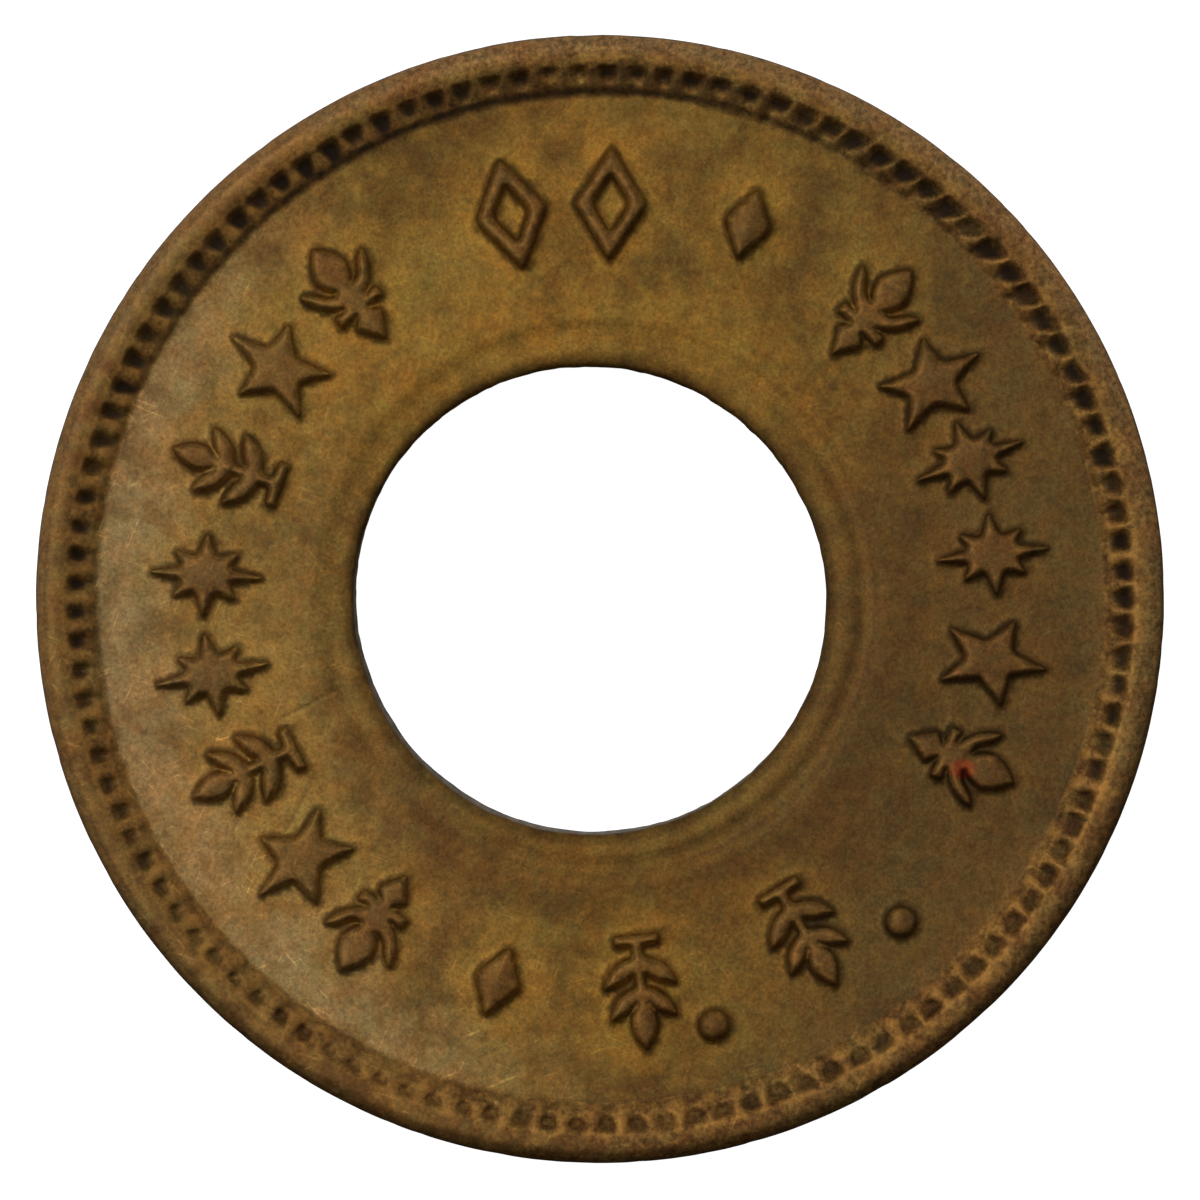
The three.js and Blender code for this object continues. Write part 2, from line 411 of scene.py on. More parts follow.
def nearest_pit(points):
    """Number of the nearest pit, and how far to the side of it each point is, in pitches."""
    radius = np.hypot(*points.T)
    turn = np.arctan2(points[:, 1], points[:, 0]) / PITCH
    whole = np.round(turn).astype(int)
    best, offset = np.zeros(len(points), int), np.full(len(points), 9.0)
    for step in (-1, 0, 1):
        number = (whole + step) % TEETH
        lean = PIT_SHIFT[number] + PIT_SKEW[number] * (radius - PIT_WALL)
        across = turn - (whole + step) - lean
        closer = np.abs(across) < np.abs(offset)
        best[closer], offset[closer] = number[closer], across[closer]
    return best, offset


def border(points):
    """Height above the field out to the rim, how far each point is down in a pit, and how far
    up it is on a tooth or on the rim's inner edge."""
    radius = np.hypot(*points.T)
    pit, across = nearest_pit(points)
    half, tip = pit_half(pit, radius), PIT_TIP + PIT_REACH[pit]
    flank = (1 - 2 * np.clip(np.abs(across), 0, 0.5)) ** 2
    foot = TOOTH_FOOT + FOOT_SCALLOP * flank
    step = LEDGE * smooth(foot, foot + 0.17, radius)
    ramp = np.clip((radius - TOOTH_FOOT - 0.1) / (RIM_CREST - TOOTH_FOOT - 0.1), 0, 1)
    rise = np.clip((radius - RIM_CREST) / (RIM_TOP - RIM_CREST), 0, 1)
    tooth = step + (RIM_HEIGHT - LAND_FALL - LEDGE) * (1.2 * ramp - 0.2 * ramp**2)
    tooth += LAND_FALL * rise * (2 - rise)
    tooth -= TOOTH_ROUNDING * flank * (1 - ramp) * smooth(foot, foot + 0.17, radius)
    pitted = smooth(half + PIT_EDGE, half - PIT_EDGE, np.abs(across))
    pitted *= smooth(tip - 0.04, tip + 0.12, radius)
    pitted *= smooth(PIT_WALL + 0.09, PIT_WALL - 0.09, radius)
    height = tooth * (1 - pitted) + (step + PIT_DEPTH[pit]) * pitted
    # Darkness in a pit, growing towards the rim wall: dirt and painted shade.
    deep = PIT_DIRT_AND_SHADE[pit] * pitted**0.7 * (0.35 + 0.65 * smooth(tip, tip + 0.25, radius))
    crest = (1 - pitted) * smooth(foot + 0.03, foot + 0.12, radius)
    ridge = np.maximum((1 - flank) ** 2, smooth(PIT_WALL, RIM_CREST, radius))
    return height, deep, crest * ridge * smooth(10.14, 10.04, radius)


BORDER_ROWS = (
    9.36, 9.43, 9.475, 9.52, 9.57, 9.63, 9.7, 9.78, 9.86, 9.93, 9.975, 10.015, 10.05, 10.1,
)


def border_points():
    """Points along both sides and the middle of every pit and tooth."""
    found = []
    number = np.arange(TEETH)
    for radius in BORDER_ROWS:
        half = pit_half(number, radius)
        lean = PIT_SHIFT + PIT_SKEW * (radius - PIT_WALL)
        for side in (-1, 1):
            for edge in (-0.11, 0, 0.11):
                angle = (number + lean + side * (half + edge)) * PITCH
                found.append(radius * np.column_stack([np.cos(angle), np.sin(angle)]))
        for middle in (0, 0.5):
            angle = (number + lean + middle) * PITCH
            found.append(radius * np.column_stack([np.cos(angle), np.sin(angle)]))
    return np.vstack(found)


# ---- one struck face, in its own frame: y up as it is read, height out of the face ----

COPPER_SPOT = (6.8, -3.2)  # a small spot of copper red


def facing(angle, degrees, power):
    """1 in a direction from the middle of the token, falling to 0 on the opposite side."""
    return (0.5 + 0.5 * np.cos(angle - math.radians(degrees))) ** power


def ring(centre, radius, count):
    angle = np.arange(count) / count * 2 * math.pi
    return centre + radius * np.column_stack([np.cos(angle), np.sin(angle)])


def mouth_radius(angle):
    """Radius of the hole at the head of its rolled edge, on the obverse as it is read."""
    return HOLE_RADIUS + HOLE_ROLL + HOLE_OVAL * np.cos(2 * (angle - HOLE_LONG))


def mouth_ring(hole, gap):
    """A ring that runs gap outside the hole's mouth; hole is its centre and 1, or -1 in the
    mirrored frame of the reverse."""
    centre, hand = hole
    angle = np.arange(HOLE_COUNT) / HOLE_COUNT * 2 * math.pi
    radius = mouth_radius(hand * angle) + gap
    return centre + radius[:, None] * np.column_stack([np.cos(angle), np.sin(angle)])


def from_mouth(points, hole):
    """How far each point is outside the hole's mouth."""
    centre, hand = hole
    x, y = (points - centre).T
    return np.hypot(x, y) - mouth_radius(hand * np.arctan2(y, x))


def hexagonal(spacing, reach):
    rows = np.arange(-reach, reach, spacing * math.sqrt(0.75))
    columns = np.arange(-reach, reach, spacing)
    x, y = np.meshgrid(columns, rows)
    x = x + (np.arange(len(rows)) % 2)[:, None] * spacing / 2
    return np.column_stack([x.ravel(), y.ravel()])


def thinned(groups, gap):
    """The points of all groups, without any that is nearer than gap to an earlier one."""
    points = np.vstack(groups)
    tree = KDTree(len(points))
    for i, (x, y) in enumerate(points):
        tree.insert((x, y, 0), i)
    tree.balance()
    kept = np.ones(len(points), bool)
    for i, (x, y) in enumerate(points):
        if kept[i]:
            for _, j, _ in tree.find_range((x, y, 0), gap):
                if j > i:
                    kept[j] = False
    return points[kept]


# How closely a face's points lie: their distances from an ornament's outline and the step along
# it, and the spacing of the grids on the field and on top of the ornaments.
FINE = {
    "offsets": (0.045, 0.012, -0.02, -0.06, -0.1), "step": 0.055,
    "field": 0.115, "inside": 0.08, "scratched": True,
}
PLAIN = {
    "offsets": (0.07, 0.01, -0.065), "step": 0.08,
    "field": 0.2, "inside": 0.12, "scratched": False,
}
RIM_COUNT = TEETH * 5
HOLE_COUNT = 288
MOUTH_GAPS = (0, 0.04, 0.09, 0.15, 0.22, 0.3, 0.4)  # rings of points outside the hole's mouth
PRESSED_RINGS = 12  # rings of points across the pressed ring
LAND_RINGS = (10.15, 10.2, 10.26, 10.32, 10.37)
LEAST_GAP = 0.026  # between any two points of a face


def field_points(places, detail):
    """A grid over the field, and a finer one on top of the ornaments."""
    found = []
    deepest, widest = detail["offsets"][-1], detail["offsets"][0]
    for spacing, interior in ((detail["field"], False), (detail["inside"], True)):
        grid = hexagonal(spacing, RADIUS)
        radius = np.hypot(*grid.T)
        grid = grid[(radius > RING_OUTER + 0.08) & (radius < BORDER_ROWS[0] - 0.05)]
        distance, _ = relief_distance(grid, places)
        here = distance < deepest - 0.04 if interior else distance > widest + 0.05
        found.append(grid[here])
    return np.vstack(found)


def face_triangles(points, hole):
    """Anticlockwise triangles between the points, without those across the hole."""
    result = delaunay_2d_cdt([tuple(p) for p in points], [], [], 0, 1e-9)
    triangles = np.array(result[2])
    if len(result[0]) != len(points):
        raise RuntimeError("the triangulation changed the points")
    centres = points[triangles].mean(axis=1)
    solid = from_mouth(centres, hole) > -0.002
    on_hole = ((triangles >= RIM_COUNT) & (triangles < RIM_COUNT + HOLE_COUNT)).all(axis=1)
    triangles = triangles[solid & ~on_hole]
    a, b, c = (points[triangles[:, k]] for k in range(3))
    flipped = np.cross(b - a, c - a) < 0
    triangles[flipped] = triangles[flipped][:, ::-1]
    return triangles


def face_mesh(places, hole, detail):
    """Points and triangles; the points of the outer boundary ring and then the hole's come first."""
    groups = [ring(np.zeros(2), RIM_EDGE, RIM_COUNT)]
    for gap in MOUTH_GAPS:
        groups.append(mouth_ring(hole, gap))
    for radius in np.linspace(RING_CREST, RING_OUTER, PRESSED_RINGS):
        pressed = ring(RING_CENTRE, radius, HOLE_COUNT)
        groups.append(pressed[from_mouth(pressed, hole) > 0.05])
    for place in places:
        for offset in detail["offsets"]:
            groups.append(contour_points(place, offset, detail["step"]))
    groups.append(border_points())
    for radius in LAND_RINGS:
        groups.append(ring(np.zeros(2), radius, RIM_COUNT))
    if detail["scratched"]:
        groups.append(scratch_points())
    groups.append(field_points(places, detail))
    points = thinned(groups, LEAST_GAP)
    return points, face_triangles(points, hole)


# ---- the shape and the patina of a face ----

BELLY = 0.02  # how far the field sinks halfway between the hole and the border
BELLY_START, BELLY_WIDTH = 5.4, 4.0
FIELD_LIP = 0.014  # how far the field rises where it meets the border
FIELD_LIP_START = 9.12
RING_DEPTH = 0.042
RING_RISE = 0.026  # how far the pressed ring rises again on its inner side
MOUTH_FALL = 0.05  # how far the slope falls to the hole's mouth
CROWN_REACH = 0.34  # a crowned ornament rises as far in from its outline as this
FOOT_LINE = 0.01  # depth of the line at the foot of the border
BLOB = 9.7  # middle of a tooth where the teeth stand apart, at the upper left
BLOB_HEAD = 9.93
HALO_RING = 5.4  # middle of the band round the hole: painted highlight towards the top, reddish patina and painted shade towards the lower right
TURNED_RING = 5.15  # middle of the faint turning marks
HAZE_START, HAZE_FULL = 7.6, 9.1


class FacePoints:
    """Points on a face, with the distances that its shape and its patina depend on."""

    def __init__(self, points, places, hole, obverse):
        self.obverse = obverse
        self.points = points
        self.x, self.y = points.T
        self.radius = np.hypot(*points.T)
        self.angle = np.arctan2(self.y, self.x)
        self.from_hole = from_mouth(points, hole)
        self.from_relief, self.crown = relief_distance(points, places)
        self.border_height, self.in_pit, self.on_tooth = border(points)
        self.land = smooth(RIM_CREST - 0.1, RIM_CREST + 0.1, self.radius)
        uneven = smooth(-0.2, 0.5, self.noise(1.3, 10))
        self.foot_line = bell(self.radius, TOOTH_FOOT, 0.03) * uneven

    def noise(self, scale, seed):
        return value_noise(self.x, self.y, scale, seed)

    def facing(self, degrees, power):
        return facing(self.angle, degrees, power)


def face_height(at):
    """Height above the field."""
    height = at.border_height.copy()
    field = smooth(TOOTH_FOOT + 0.05, TOOTH_FOOT, at.radius)
    across = np.clip((at.radius - BELLY_START) / BELLY_WIDTH, 0, 1)
    height -= field * BELLY * np.sin(across * math.pi)
    height += field * (0.004 * at.noise(1.7, 5) + 0.002 * at.noise(0.6, 6))
    up_lip = np.clip((at.radius - FIELD_LIP_START) / (TOOTH_FOOT - FIELD_LIP_START), 0, 1)
    height += FIELD_LIP * up_lip**2
    ring_radius = np.hypot(*(at.points - RING_CENTRE).T)
    height -= RING_DEPTH * smooth(RING_OUTER, RING_FLOOR, ring_radius)
    height += RING_RISE * smooth(RING_FLOOR, RING_CREST, ring_radius)
    height -= MOUTH_FALL * np.clip(1 - at.from_hole / HOLE_SLOPE, 0, 1) ** 2
    steep, gentle = smooth(0.07, -0.045, at.from_relief), smooth(-0.02, -0.12, at.from_relief)
    wall = 0.85 * steep + 0.15 * gentle
    inside = np.clip(-at.from_relief, 0, CROWN_REACH)
    height += wall * RELIEF * (1 + 0.05 * at.noise(0.8, 7)) + at.crown * inside * wall
    height -= FOOT_LINE * at.foot_line
    height -= at.land * (0.008 + 0.005 * at.noise(0.9, 8) + 0.002 * at.noise(0.3, 9))
    over = np.clip((at.radius - RIM_TOP) / SHOULDER, 0, 1)
    height -= SHOULDER_DROP * (1 - np.sqrt(1 - over**2))
    if at.obverse:
        height -= marks(at.points)
    return np.minimum(height, RIM_HEIGHT)


def face_soil_and_wear(at):
    """How dark with dirt and painted shade, and how bright with rubbing and painted highlights, the
    metal is.
    """
    shaded = at.on_tooth * at.facing(85, 12)
    tooth_foot = (at.radius > TOOTH_FOOT) * bell(at.radius, TOOTH_FOOT + 0.12, 0.1)
    patchy = 0.6 + 0.4 * at.noise(0.5, 11)
    soil = 0.55 * patchy * bell(at.from_relief, 0.05, 0.035)
    spread = np.exp(-np.clip(at.from_relief, 0, 9) / 0.2)
    soil += 0.1 * patchy * spread * (at.from_relief > 0)
    for other in (
        at.in_pit,
        0.35 * at.foot_line,
        0.3 * smooth(0.12, 0.0, at.from_hole),
        # Painted shade: the teeth towards the top, the step at the feet of the teeth towards the top,
        # and the rim's inner wall at the upper left.
        0.55 * shaded * smooth(RIM_CREST, RIM_CREST - 0.15, at.radius),
        0.72 * tooth_foot * at.facing(105, 4),
        0.6 * bell(at.radius, BLOB_HEAD, 0.06) * at.facing(130, 6),
    ):
        soil = np.maximum(soil, other)
    wear = 0.45 * bell(at.from_relief, -0.09, 0.035)
    # Worn teeth, with a painted highlight towards the lower side, where they face the light, and none
    # on the shaded teeth towards the top.
    wear += (0.45 + 0.35 * at.facing(280, 1)) * at.on_tooth * (1 - shaded)
    # Painted highlights where the teeth face the light: their feet towards the bottom, and the teeth
    # at the upper left.
    wear += 0.55 * tooth_foot * at.on_tooth * at.facing(290, 1)
    wear += 0.6 * bell(at.radius, BLOB, 0.09) * at.on_tooth * at.facing(145, 4)
    bright = 0.62 * at.facing(330, 3) + 0.5 * at.facing(70, 12)
    wear += bright * bell(at.radius, RIM_CREST + 0.1, 0.12) * smooth(0, 0.6, at.noise(0.35, 16))
    return soil, wear


def face_facts(at):
    """What the material needs to know at each point, as shares from 0 to 1."""
    soil, wear = face_soil_and_wear(at)
    top = smooth(0.0, -0.08, at.from_relief)
    halo = smooth(0.9, 0.1, at.from_relief) * (1 - top)
    near_hole = bell(at.radius, HALO_RING, 0.7)
    rim = smooth(TOOTH_FOOT - 0.02, TOOTH_FOOT + 0.1, at.radius)
    ragged = at.radius + 0.5 * at.noise(0.9, 17) + 0.2 * at.noise(0.25, 18)
    from_copper = np.hypot(at.x - COPPER_SPOT[0], 1.3 * (at.y - COPPER_SPOT[1]))
    return {
        "soil": soil,
        "wear": wear,
        "top": top,
        # Round the hole this is a painted highlight, brightest towards the top.
        "halo": np.maximum(halo, 1.3 * near_hole * at.facing(85, 2)),
        "rim": rim,
        "outer": smooth(HAZE_START, HAZE_FULL, ragged) * (1 - rim),
        # Reddish brown patina, and painted shade growing towards the lower right, away from the
        # light.
        "umber_and_shade": (0.7 * near_hole + 0.7 * rim + 0.45 * at.land) * at.facing(295, 1),
        # Painted highlight on the rim's rounded outer edge, brightest towards the top.
        "polish": smooth(RIM_TOP - 0.1, RIM_EDGE + 0.05, at.radius) * at.facing(85, 1.2),
        "copper": at.obverse * smooth(0.32, 0.12, from_copper),
        "turned": bell(at.radius, TURNED_RING, 0.45) * (0.3 + 0.7 * at.facing(-20, 1)),
    }


# ---- the whole disc ----

FACTS = (
    "soil",  # dirt in the recesses, and painted shade on the border towards the top
    "wear",  # bright worn crests, and painted highlights on the teeth where they face the light
    "top",  # tops of the ornaments
    "halo",  # cleaner metal round the ornaments, and a painted highlight round the hole towards the top
    "rim",  # border and rim
    "outer",  # outer part of the field
    "umber_and_shade",  # reddish brown patina, and painted shade towards the lower right
    "polish",  # painted highlight on the rim's rounded outer edge, brightest towards the top
    "copper",  # a spot of copper red
    "turned",  # faint rings round the hole
    "cut",  # punched side of the hole
)
OBVERSE_FACE, REVERSE_FACE, OUTER_EDGE, HOLE_SIDE = range(4)


class Disc:
    """One closed mesh, put together part by part, with what the material needs to know of it."""

    def __init__(self):
        self.vertices = np.zeros((0, 3))
        self.triangles = np.zeros((0, 3), int)
        self.part = np.zeros(0, int)
        self.facts = {name: np.zeros(0) for name in FACTS}

    def add_vertices(self, points, **facts):
        """Adds vertices and returns their indices; a fact that isn't given is 0."""
        first = len(self.vertices)
        self.vertices = np.vstack([self.vertices, points])
        for name in FACTS:
            values = np.broadcast_to(facts.get(name, 0.0), len(points))
            self.facts[name] = np.concatenate([self.facts[name], values])
        return np.arange(first, len(self.vertices))

    def add_triangles(self, triangles, part):
        self.triangles = np.vstack([self.triangles, triangles])
        self.part = np.concatenate([self.part, np.full(len(triangles), part)])

    def join(self, rings, part, outward):
        """Joins each ring of indices to the next one down."""
        for upper, lower in zip(rings, rings[1:]):
            a, b = upper, np.roll(upper, -1)
            c, d = lower, np.roll(lower, -1)
            for corners in [(a, c, d), (a, d, b)] if outward else [(a, d, c), (a, b, d)]:
                self.add_triangles(np.column_stack(corners), part)


def add_face(disc, part, places, hole, detail):
    """Adds a face, and returns the rings of indices round it and round its hole, both
    anticlockwise as seen from above."""
    points, triangles = face_mesh(places, hole, detail)
    at = FacePoints(points, places, hole, part == OBVERSE_FACE)
    height = FIELD + face_height(at)
    if part == OBVERSE_FACE:
        placed = np.column_stack([points, height + HALF])
    else:
        placed = np.column_stack([points * (1, -1), HALF - height])
    indices = disc.add_vertices(placed, **face_facts(at))
    disc.add_triangles(triangles + indices[0], part)
    rings = indices[:RIM_COUNT], indices[RIM_COUNT:RIM_COUNT + HOLE_COUNT]
    return rings if part == OBVERSE_FACE else [np.roll(ring[::-1], 1) for ring in rings]


SHOULDER_START = math.asin((RIM_EDGE - RIM_TOP) / SHOULDER)
SHOULDER_TURNS = np.linspace(SHOULDER_START, math.pi / 2, 9)[1:]
EDGE_ROWS = 8
EDGE_RIPPLE = 0.005
EDGE_NICKS = 0.02


def edge_profile():
    """Rows down the outer edge: how far in from the full radius, the drop below the nearer face's
    boundary ring, and the share of the way down from the upper ring to the lower."""
    curve = [
        (SHOULDER * (1 - math.sin(t)), SHOULDER_DROP * (math.cos(SHOULDER_START) - math.cos(t)))
        for t in SHOULDER_TURNS
    ]
    rows = [(inset, drop, 0.0) for inset, drop in curve]
    rows += [(0.0, curve[-1][1], share) for share in np.linspace(0, 1, EDGE_ROWS)[1:-1]]
    return rows + [(inset, drop, 1.0) for inset, drop in reversed(curve)]


def add_outer_edge(disc, upper_ring, lower_ring):
    angle = np.arange(RIM_COUNT) / RIM_COUNT * 2 * math.pi
    upper, lower = disc.vertices[upper_ring, 2], disc.vertices[lower_ring, 2]
    rings = [upper_ring]
    for inset, drop, share in edge_profile():
        down = np.full(RIM_COUNT, share * THICKNESS)
        ripple = EDGE_RIPPLE * value_noise(angle * RADIUS, down + 40, 0.5, 12)
        rough = value_noise(angle * RADIUS, down, 0.3, 13)
        nicks = EDGE_NICKS * np.maximum(0, rough - 0.5)
        radius = RADIUS - inset - np.abs(ripple) - nicks
        height = (upper - drop) * (1 - share) + (lower + drop) * share
        row = np.column_stack([radius * np.cos(angle), radius * np.sin(angle), height])
        corner = smooth(0.0, 0.05, inset)
        # Painted highlight on the rounded edge, brightest towards the top.
        polish = corner * (0.2 + 0.8 * facing(angle, 85, 1))
        rings.append(disc.add_vertices(
            row, soil=0.1 + 8 * nicks, wear=0.1 + 0.2 * corner, rim=1.0, polish=polish,
        ))
    disc.join(rings + [lower_ring], OUTER_EDGE, True)


ROLL_STEPS = (0.3, 0.6, 0.85)  # shares of a quarter turn
HOLE_WALL = 9


def add_hole_side(disc, upper_ring, lower_ring):
    """The rolled edge of the hole on each face and the wall between them."""
    angle = np.arange(HOLE_COUNT) / HOLE_COUNT * 2 * math.pi
    along = angle * HOLE_RADIUS
    upper, lower = disc.vertices[upper_ring, 2], disc.vertices[lower_ring, 2]
    path = [(roll, 0.0) for roll in ROLL_STEPS]
    path += [(1.0, down) for down in np.linspace(0, 1, HOLE_WALL)]
    path += [(roll, 1.0) for roll in reversed(ROLL_STEPS)]
    rings = [upper_ring]
    for roll, down in path:
        centre = HOLE_CENTRE + PUNCH_DRIFT * (down - 0.5)
        turn = roll * math.pi / 2
        ragged = 0.012 * value_noise(along, np.full(HOLE_COUNT, down * 0.8 + 9), 0.4, 14)
        ragged += 0.01 * value_noise(along, np.full(HOLE_COUNT, down * 3 + 5), 0.15, 15)
        radius = mouth_radius(angle) - HOLE_ROLL * math.sin(turn) + HOLE_FLARE * down + ragged * roll
        drop = HOLE_ROLL * (1 - math.cos(turn))
        row = np.column_stack([
            centre[0] + radius * np.cos(angle),
            centre[1] + radius * np.sin(angle),
            (upper - drop) * (1 - down) + (lower + drop) * down,
        ])
        cut = float(roll == 1)
        rings.append(disc.add_vertices(row, soil=0.3, wear=0.2 * (1 - roll), cut=cut))
    disc.join(rings + [lower_ring], HOLE_SIDE, False)


def build_disc():
    disc = Disc()
    above = (HOLE_CENTRE - PUNCH_DRIFT / 2, 1)
    beneath = ((HOLE_CENTRE + PUNCH_DRIFT / 2) * (1, -1), -1)
    upper_rim, upper_mouth = add_face(disc, OBVERSE_FACE, OBVERSE, above, FINE)
    lower_rim, lower_mouth = add_face(disc, REVERSE_FACE, REVERSE, beneath, PLAIN)
    add_outer_edge(disc, upper_rim, lower_rim)
    add_hole_side(disc, upper_mouth, lower_mouth)
    return disc


# ---- the flat map that the material is baked on ----

MAP_FACES = {  # middle and radius of each face's disc
    OBVERSE_FACE: (0.315, 0.315, 0.31),
    REVERSE_FACE: (0.815, 0.185, 0.18),
}
MAP_STRIPS = {  # foot and head of each side's strip
    OUTER_EDGE: (0.9, 0.985),
    HOLE_SIDE: (0.8, 0.885),
}
MAP_MARGIN = 0.01


def flat_map(disc):
    """Map coordinates for each corner: both faces seen square on, each side as a long strip."""
    corners = disc.vertices[disc.triangles]
    coordinates = np.zeros(corners.shape[:2] + (2,))
    for part, (x, y, reach) in MAP_FACES.items():
        here = disc.part == part
        hand = (1, 1) if part == OBVERSE_FACE else (1, -1)
        coordinates[here] = (x, y) + corners[here][..., :2] * hand * (reach / RADIUS)
    for part, (foot, head) in MAP_STRIPS.items():
        here = disc.part == part
        middle = (0, 0) if part == OUTER_EDGE else HOLE_CENTRE
        x, y = np.moveaxis(corners[here][..., :2] - middle, -1, 0)
        turn = np.arctan2(y, x) / (2 * math.pi) % 1
        wraps = np.ptp(turn, axis=1) > 0.5
        turn[wraps] += turn[wraps] < 0.5
        height = corners[here][..., 2] / THICKNESS
        along = MAP_MARGIN + turn * (1 - 2 * MAP_MARGIN)
        coordinates[here] = np.stack([along, foot + height * (head - foot)], axis=-1)
    return coordinates


def mesh_object(name, disc):
    mesh = bpy.data.meshes.new(name)
    corners = disc.triangles.astype(np.int32).ravel()
    mesh.vertices.add(len(disc.vertices))
    mesh.vertices.foreach_set("co", (disc.vertices * MM).astype(np.float32).ravel())
    mesh.loops.add(len(corners))
    mesh.loops.foreach_set("vertex_index", corners)
    mesh.polygons.add(len(disc.triangles))
    mesh.polygons.foreach_set("loop_start", np.arange(0, len(corners), 3, dtype=np.int32))
    mesh.update(calc_edges=True)
    mesh.shade_smooth()
    for key, values in disc.facts.items():
        layer = mesh.attributes.new(key, "FLOAT", "POINT")
        layer.data.foreach_set("value", np.clip(values, 0, 1).astype(np.float32))
    layer = mesh.uv_layers.new(name="OFBake")
    layer.uv.foreach_set("vector", flat_map(disc).astype(np.float32).ravel())
    found = bpy.data.objects.new(name, mesh)
    bpy.context.scene.collection.objects.link(found)
    return found


token = mesh_object("token", build_disc())
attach(token, "root")
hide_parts("token_disc")

# ---- the brass ----


def srgb(*levels):
    """A colour from 0-255 display levels, as the linear values that nodes take."""
    return tuple(
        (v / 255 / 12.92) if v / 255 <= 0.04045 else ((v / 255 + 0.055) / 1.055) ** 2.4
        for v in levels
    ) + (1.0,)


class Surface:
    """A material's node tree, with a short call for each kind of node it uses."""

    def __init__(self, name):
        self.material = bpy.data.materials.new(name)
        self.material.use_nodes = True
        self.tree = self.material.node_tree
        self.shader = self.tree.nodes["Principled BSDF"]

    def put(self, value, socket):
        if isinstance(value, bpy.types.NodeSocket):
            self.tree.links.new(value, socket)
        else:
            socket.default_value = value

    def math(self, operation, a, b=0.0, clamp=False):
        node = self.tree.nodes.new("ShaderNodeMath")
        node.operation = operation
        node.use_clamp = clamp
        self.put(a, node.inputs[0])
        self.put(b, node.inputs[1])
        return node.outputs[0]

    def ease(self, value, low, high):
        node = self.tree.nodes.new("ShaderNodeMapRange")
        node.interpolation_type = "SMOOTHSTEP"
        self.put(value, node.inputs["Value"])
        node.inputs["From Min"].default_value = low
        node.inputs["From Max"].default_value = high
        return node.outputs[0]

    def mix(self, factor, a, b, blend="MIX"):
        node = self.tree.nodes.new("ShaderNodeMix")
        node.data_type = "RGBA"
        node.blend_type = blend
        self.put(factor, node.inputs["Factor"])
        self.put(a, node.inputs["A"])
        self.put(b, node.inputs["B"])
        return node.outputs["Result"]

    def varied(self, colour, factor, low, high):
        """A colour multiplied by something between two sets of levels."""
        return self.mix(1.0, colour, self.mix(factor, low + (1,), high + (1,)), "MULTIPLY")

    def stretched(self, x=1.0, y=1.0, z=1.0, turn=0.0):
        """Millimetre coordinates, scaled along each axis after a turn about Z."""
        coordinates = self.tree.nodes.new("ShaderNodeTexCoord")
        node = self.tree.nodes.new("ShaderNodeMapping")
        node.vector_type = "TEXTURE"
        node.inputs["Rotation"].default_value = (0, 0, math.radians(turn))
        node.inputs["Scale"].default_value = (MM / x, MM / y, MM / z)
        self.tree.links.new(coordinates.outputs["Object"], node.inputs["Vector"])
        return node.outputs[0]

    def noise(self, scale, detail=3.0, roughness=0.55, where=None, lift=0.0):
        node = self.tree.nodes.new("ShaderNodeTexNoise")
        node.noise_dimensions = "4D"
        self.put(where or self.stretched(), node.inputs["Vector"])
        node.inputs["W"].default_value = lift
        node.inputs["Scale"].default_value = scale
        node.inputs["Detail"].default_value = detail
        node.inputs["Roughness"].default_value = roughness
        return node.outputs["Fac"]

    def spun(self):
        """Coordinates that change only with the distance from the middle, in millimetres."""
        node = self.tree.nodes.new("ShaderNodeVectorMath")
        node.operation = "LENGTH"
        self.put(self.stretched(), node.inputs[0])
        line = self.tree.nodes.new("ShaderNodeCombineXYZ")
        self.put(node.outputs["Value"], line.inputs["X"])
        return line.outputs[0]

    def toward(self, degrees, low, high):
        """0 to 1 across the token, as it goes from low to high along a direction."""
        node = self.tree.nodes.new("ShaderNodeVectorMath")
        node.operation = "DOT_PRODUCT"
        self.put(self.stretched(), node.inputs[0])
        angle = math.radians(degrees)
        node.inputs[1].default_value = (math.cos(angle), math.sin(angle), 0)
        return self.ease(node.outputs["Value"], low, high)

    def fact(self, name):
        node = self.tree.nodes.new("ShaderNodeAttribute")
        node.attribute_name = name
        return node.outputs["Fac"]


PATINA = srgb(95, 69, 32), srgb(138, 106, 47)  # dark and pale
# cleaner metal round the ornaments, and the painted highlight round the hole
CLEAN_AND_LIT_BRASS = srgb(160, 119, 48)
# reddish brown: patina, and painted shade towards the lower right
UMBER_AND_SHADE = srgb(92, 60, 28)
SHADOWED = srgb(84, 64, 38)
# pale haze towards the left: dusty deposit, and painted sheen
HAZE = srgb(160, 131, 88)
RIM_BROWN = srgb(102, 70, 37), srgb(128, 97, 50)
# painted highlight on the rim's rounded outer edge
EDGE_HIGHLIGHT = srgb(154, 119, 77)
ORNAMENT_BROWN = srgb(108, 76, 40)
COPPER_RED = srgb(150, 48, 28)
CUT_BRASS = srgb(104, 90, 68), srgb(150, 136, 114)
# dirt, and painted shade on the border towards the top
DIRT_AND_SHADE = srgb(44, 31, 18)
# worn metal, and painted highlights on the teeth
RUBBED_AND_LIT = srgb(190, 136, 66)
NO_NOISE = (0.5, 0.5, 0.5, 1.0)
STREAKS = ((20, 21), (68, 24), (131, 27), (160, 33))  # direction in degrees, and noise lift


